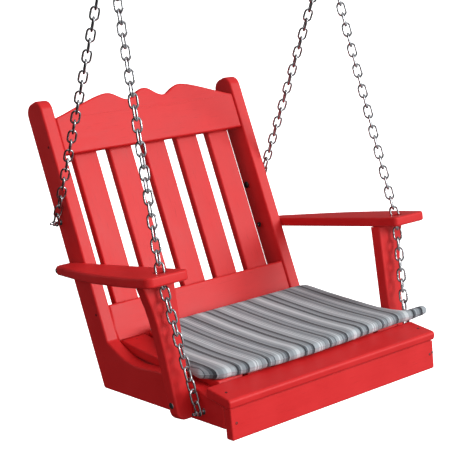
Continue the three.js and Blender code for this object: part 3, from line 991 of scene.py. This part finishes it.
    def screws(self) -> None:
        """Screws that show: in the nosing, apron, side frames, seat slats and the rear of the back."""
        seat = self.seat
        slope = math.radians(seat.nosing_slope)
        up = Vector((0, -math.sin(slope), math.cos(slope)))
        out = Vector((0, -math.cos(slope), -math.sin(slope)))
        spots: list[tuple[str, Vector, Vector, Vector]] = []
        corner = Vector((0, *seat.nosing_rear))
        for k, x in enumerate((-325, 325)):
            spots.append((f"nosing_screw_{k + 1}", corner + out * 48 + X_AXIS * x, X_AXIS, -out))
        face = -seat.gap - seat.board_t
        for k, (x, z) in enumerate(((-328, 19), (328, 19), (338, 22))):
            spots.append((f"apron_screw_{k + 1}", Vector((x, face, z)), X_AXIS, Z_AXIS))
        for side, sign in SIDES:
            outer = sign * seat.half_width
            places = [seat.on_back(s, seat.reveal + seat.board_t / 2) for s in (542, 77)]
            for k, place in enumerate(places):
                spots.append((f"side_screw_{side}_{k + 1}", Vector((outer, place.y, place.z)),
                              Y_AXIS * sign, Z_AXIS))
        behind = seat.reveal + 3 * seat.board_t + seat.gap
        for i in range(seat.back_slats):
            middle = (i - (seat.back_slats - 1) / 2) * seat.back_pitch
            for k, (x, s) in enumerate(((-22, 545), (22, 545), (-22, 48), (22, 48))):
                place = seat.on_back(s, behind) + X_AXIS * (middle + x)
                spots.append((f"slat_screw_{i + 1}_{k + 1}", place, -X_AXIS, seat.up_back))
        pitch = (2 * seat.inner - seat.slat) / (seat.seat_slats - 1)
        for i in range(seat.seat_slats):
            for k, y in enumerate((82, 459)):
                middle = -seat.inner + i * pitch + seat.slat / 2
                place = Vector((middle, y, seat.top(y) - 0.9))
                spots.append((f"seat_screw_{i + 1}_{k + 1}", place, X_AXIS, Y_AXIS))
        for name, place, x_axis, y_axis in spots:
            # Screw heads are near-black as painted shade of the holes they sit in.
            piece = new_piece(name, self.screw(), self.finishes.dark)
            settle(piece, Body.SWING, Slot.ZINC, (), seat.hang.matrix(x_axis, y_axis, place))

    def build(self) -> None:
        """Makes every fastening."""
        self.bolts()
        self.screws()


@dataclass
class Hangers:
    """The ceiling brackets, hinge pins, shackles and rings above the chains."""

    hang: Hang
    finishes: Finishes
    pin_r: float = 5
    pitch: float = 36
    eye: float = 7
    ring_r: float = 24
    ring_wire: float = 4
    screw_places: tuple[tuple[float, float], ...] = ((-25, -40), (25, -40), (25, 40), (-25, 40))

    def bracket(self) -> bmesh.types.BMesh:
        """The screwed plate, flush with the ceiling, and its two ears."""
        plate = rounded([(-38, -55, 8), (38, -55, 8), (38, 55, 8), (-38, 55, 8)])
        holes = [disc(x, y, 3.5, 20) for x, y in self.screw_places]
        bm = slab(plate, 6, 1, holes)
        bmesh.ops.translate(bm, verts=bm.verts, vec=(0, 0, -6 * MM))
        foot = -self.hang.pin_drop - 13
        for x in (-9, 4):
            ear = slab(rounded([(-12, foot, 11), (12, foot, 11), (22, -5), (-22, -5)]), 5, 1,
                       [disc(0, -self.hang.pin_drop, self.pin_r + 0.06, 24)])
            mesh = bpy.data.meshes.new("ear")
            ear.to_mesh(mesh)
            ear.free()
            mesh.transform(placement(Y_AXIS, Z_AXIS, Vector((x * MM, 0, 0))))
            bm.from_mesh(mesh)
            bpy.data.meshes.remove(mesh)
        return bm

    def build(self) -> None:
        """Makes both sides' hangers."""
        zinc = self.finishes.zinc
        drop = Vector((0, 0, -self.hang.pin_drop * MM))
        for side, sign in SIDES:
            x = Vector((sign * self.hang.apex_x * MM, 0, 0))
            settle(new_piece(f"ceiling_bracket_{side}_plate", self.bracket(), zinc), Body.CEILING,
                   Slot.ZINC, [f"ceiling_bracket_{side}"], Matrix.Translation(x))
            pin = turned([(0, -12), (4.4, -12), (5, -11.4), (5, 9.3), (8, 9.3), (8, 11.2), (7.2, 12),
                          (0, 12)])
            settle(new_piece(f"hinge_pin_{side}_turned", pin, zinc), Body.CEILING, Slot.ZINC,
                   [f"hinge_pin_{side}"], placement(Y_AXIS, Z_AXIS, x + drop))
            end = -self.pitch - 15
            plate = slab(rounded([(-13, 13, 12), (-13, end, 12), (13, end, 12), (13, 13, 12)]), 7, 2,
                         [disc(0, 0, self.pin_r + 0.1, 24), disc(0, -self.pitch, self.eye, 24)])
            settle(new_piece(f"shackle_{side}_plate", plate, zinc), Body.SWING, Slot.ZINC,
                   [f"shackle_{side}"], placement(Y_AXIS, Z_AXIS, x + drop - X_AXIS * 3.5 * MM))
            middle = x - Z_AXIS * (self.hang.apex_drop - self.ring_r) * MM
            circle = [middle + Vector((math.cos(t), 0, math.sin(t))) * self.ring_r * MM
                      for t in (2 * math.pi * k / 56 for k in range(56))]
            ring = swept(circle, [self.ring_wire * MM] * len(circle), 16)
            settle(new_piece(f"chain_ring_{side}_bar", ring, zinc, weighted=False), Body.SWING,
                   Slot.ZINC, [f"chain_ring_{side}"])
            for k, (px, py) in enumerate(self.screw_places):
                lag = turned([(0, 6), (3.2, 6), (3.2, 0), (7.4, 0), (7.6, -0.8), (7.6, -3.6),
                              (6.6, -4.4), (5.6, -4.6), (0, -4.6)], 48, hexagon(11))
                settle(new_piece(f"ceiling_screw_{side}_{k + 1}", lag, zinc), Body.CEILING, Slot.ZINC,
                       (), Matrix.Translation(x + Vector((px, py, -6.1)) * MM))


@dataclass
class SeatPad:
    """The thin striped pad lying in the dished seat."""

    seat: Seat
    finishes: Finishes
    thickness: float = 24
    swell: float = 4
    ease: float = 7
    voxel: float = 0.006
    lift: float = 0.4
    welt: float = 1.6
    curl: float = 7
    corners: list[Sequence[float]] = field(default_factory=lambda: [
        (-334, 104, 20), (-300, 60, 30), (-230, 42), (-130, 32), (-20, 28), (80, 31), (200, 40),
        (300, 46), (402, 32, 9), (400, 54, 12), (346, 76, 16), (339, 130, 40), (337, 476, 18),
        (-216, 476, 22), (-320, 200, 60)])

    def inflate(self, piece: bpy.types.Object) -> None:
        """Puffs the flat pad with a short cloth simulation, each point's travel capped."""
        before = [v.co.copy() for v in piece.data.vertices]
        cloth = piece.modifiers.new("puff", "CLOTH")
        cloth.settings.use_pressure = True
        cloth.settings.uniform_pressure_force = 4
        cloth.settings.effector_weights.gravity = 0
        cloth.settings.quality = 4
        cloth.collision_settings.use_collision = False
        scene = bpy.context.scene
        for step in range(1, 21):
            scene.frame_set(step)
        depsgraph = bpy.context.evaluated_depsgraph_get()
        puffed = [v.co.copy() for v in piece.evaluated_get(depsgraph).data.vertices]
        piece.modifiers.clear()
        scene.frame_set(1)
        for vertex, old, new in zip(piece.data.vertices, before, puffed):
            move = new - old
            limit = self.swell * MM
            vertex.co = old + (move * (limit / move.length) if move.length > limit else move)

    def remeshed(self, piece: bpy.types.Object) -> None:
        """Gives the pad an even net of small faces."""
        grid = piece.modifiers.new("net", "REMESH")
        grid.mode = "VOXEL"
        grid.voxel_size = self.voxel
        depsgraph = bpy.context.evaluated_depsgraph_get()
        mesh = bpy.data.meshes.new_from_object(piece.evaluated_get(depsgraph))
        piece.modifiers.clear()
        old, piece.data = piece.data, mesh
        bpy.data.meshes.remove(old)

    def lay(self, piece: bpy.types.Object) -> None:
        """Bends the flat pad to the seat, thins its rear, lifts its front corner, roughens its top."""
        for vertex in piece.data.vertices:
            x, y, z = vertex.co / MM
            wave = noise.noise(Vector((x / 70, y / 110, 0))) * 1.1
            wave += noise.noise(Vector((x / 24, y / 40, 3))) * 0.35
            rest = max(self.lift, z + self.swell * 0.6)
            thin = 1 - 0.6 * min(1.0, max(0.0, (y - 425) / 50)) ** 2
            corner = max(0.0, (x - 300) / 100) ** 2 * min(1.0, max(0.0, (130 - y) / 60))
            curl = self.curl * corner
            lift = rest * thin + curl + (wave if z > self.thickness / 2 else 0)
            vertex.co = self.seat.hang.point((x, y, self.seat.top(y) + lift))

    def build(self) -> None:
        """Makes the pad and its sewn edge."""
        block = slab(rounded(self.corners, 10), self.thickness, self.ease)
        piece = new_piece("striped_seat_pad", block, self.finishes.stripes, weighted=False)
        self.remeshed(piece)
        self.inflate(piece)
        self.lay(piece)
        for polygon in piece.data.polygons:
            polygon.use_smooth = True
        if not piece.data.materials:
            piece.data.materials.append(self.finishes.stripes)
        finer = piece.modifiers.new("finer", "SUBSURF")
        finer.levels = finer.render_levels = 1
        settle(piece, Body.PAD, Slot.FABRIC, ["seat_cushion"])
        self.seam(piece)

    def seam(self, pad: bpy.types.Object) -> None:
        """Lays a fine welt along the pad's widest line."""
        bpy.context.view_layer.update()
        tree = BVHTree.FromObject(pad, bpy.context.evaluated_depsgraph_get())
        middle = Vector((30, 270))
        path = []
        for x, y in dense(rounded(self.corners, 10), 6):
            away = (Vector((x, y)) - middle).normalized() * 5
            height = self.seat.top(y) + self.thickness / 2 + 4
            start = self.seat.hang.point((x + away.x, y + away.y, height))
            path.append(tree.find_nearest(start)[0])
        welt = swept(path, [self.welt * MM] * len(path), 8)
        piece = new_piece("seat_pad_welt", welt, self.finishes.stripes, weighted=False)
        settle(piece, Body.PAD, Slot.FABRIC)


def dense(outline: Outline, spacing: float) -> Outline:
    """The same closed outline with points no further apart than the spacing."""
    points: Outline = []
    for a, b in zip(outline, outline[1:] + outline[:1]):
        count = max(1, round(math.dist(a, b) / spacing))
        points += [(a[0] + (b[0] - a[0]) * k / count, a[1] + (b[1] - a[1]) * k / count)
                   for k in range(count)]
    return points


@dataclass(frozen=True)
class Lamp:
    """A broad, distant lamp: the way it shines, its strength, its angular width in degrees."""

    name: str
    towards: tuple[float, float, float]
    strength: float
    spread: float
    glossy: bool = True


LAMPS = (
    Lamp("key", (-0.55, 1.0, -0.52), 2.0, 30),
    Lamp("top", (0.1, 0.2, -1.0), 0.35, 60),
    Lamp("fill", (1.0, 0.45, -0.15), 0.6, 60, glossy=False),
    Lamp("back", (0.35, -1.0, -0.3), 0.7, 60, glossy=False),
)


@dataclass
class Studio:
    """Floor, light and camera."""

    hang: Hang
    finishes: Finishes
    floor_level: float = -1.75
    floor_radius: float = 60
    eye: tuple[float, float, float] = (-1876.6, -2080.3, 923.6)
    yaw: float = 0.6512
    pitch: float = 0.1719
    roll: float = -0.0928
    lens: float = 92.45
    sensor: float = 36
    bright_side: tuple[float, float, float] = (0.55, -0.65, 0.5)
    surround: dict[str, float] = field(default_factory=lambda: {
        "From Min": -0.25, "From Max": 0.95, "To Min": 0.03, "To Max": 1.0})

    def floor(self) -> None:
        """A wide pale disc below the seat, inside a pale dome that only the camera sees."""
        bm = bmesh.new()
        bmesh.ops.create_circle(bm, cap_ends=True, segments=96, radius=self.floor_radius)
        piece = new_piece("studio_floor", bm, self.finishes.floor, weighted=False)
        piece.location.z = self.floor_level
        bm = bmesh.new()
        bmesh.ops.create_uvsphere(bm, u_segments=64, v_segments=32, radius=self.floor_radius)
        backdrop = new_piece("studio_backdrop", bm, self.finishes.floor, weighted=False)
        for each in (piece, backdrop):
            each.visible_diffuse = False
            each.visible_glossy = False
            each.visible_shadow = False

    def lamp(self, lamp: Lamp) -> None:
        """Adds one broad, distant lamp."""
        light = bpy.data.lights.new(lamp.name, "SUN")
        light.energy = lamp.strength
        light.angle = math.radians(lamp.spread)
        piece = bpy.data.objects.new(lamp.name, light)
        piece.rotation_euler = Vector(lamp.towards).to_track_quat("-Z", "Y").to_euler()
        piece.visible_glossy = lamp.glossy
        bpy.context.collection.objects.link(piece)

    def light(self) -> None:
        """The lamps, and a surround that is brighter above and to the front right."""
        for lamp in LAMPS:
            self.lamp(lamp)
        world = bpy.data.worlds.new("surround")
        bpy.context.scene.world = world
        world.use_nodes = True
        tree = world.node_tree
        tree.nodes.clear()
        place = tree.nodes.new("ShaderNodeTexCoord")
        dot = tree.nodes.new("ShaderNodeVectorMath")
        dot.operation = "DOT_PRODUCT"
        dot.inputs[1].default_value = Vector(self.bright_side).normalized()
        ramp = tree.nodes.new("ShaderNodeMapRange")
        for key, value in self.surround.items():
            ramp.inputs[key].default_value = value
        shade = tree.nodes.new("ShaderNodeBackground")
        output = tree.nodes.new("ShaderNodeOutputWorld")
        tree.links.new(place.outputs["Generated"], dot.inputs[0])
        tree.links.new(dot.outputs["Value"], ramp.inputs["Value"])
        tree.links.new(ramp.outputs["Result"], shade.inputs["Strength"])
        tree.links.new(shade.outputs["Background"], output.inputs["Surface"])
        bpy.context.scene.view_settings.view_transform = "Standard"

    def camera(self) -> None:
        """Looks at the seat from the front left and a little above."""
        yaw = Matrix.Rotation(self.yaw, 3, "Z")
        pitch = Matrix.Rotation(self.pitch, 3, "X")
        roll = Matrix.Rotation(self.roll, 3, "Z")
        level = Matrix(((1, 0, 0), (0, 0, -1), (0, 1, 0)))
        rows = roll @ pitch @ level @ yaw
        right, down, ahead = (self.hang.turn @ row for row in rows)
        data = bpy.data.cameras.new("studio_camera")
        data.lens = self.lens
        data.sensor_width = self.sensor
        data.clip_end = 200
        camera = bpy.data.objects.new("studio_camera", data)
        pose = Matrix((right, -down, -ahead)).transposed().to_4x4()
        pose.translation = self.hang.point(self.eye)
        camera.matrix_world = pose
        bpy.context.collection.objects.link(camera)
        bpy.context.scene.camera = camera

    def build(self) -> None:
        """Sets the studio up."""
        self.floor()
        self.light()
        self.camera()


def main() -> None:
    """Builds the swing and its studio."""
    logging.basicConfig(level=logging.INFO, format="%(name)s: %(message)s", stream=sys.stdout)
    hang = Hang()
    finishes = Finishes()
    Studio(hang, finishes).build()
    seat = Seat(hang, finishes)
    seat.build()
    chains = Chains(hang, finishes)
    chains.build()
    Fastenings(seat, chains, finishes).build()
    Hangers(hang, finishes).build()
    SeatPad(seat, finishes).build()


if __name__ == "__main__":
    main()
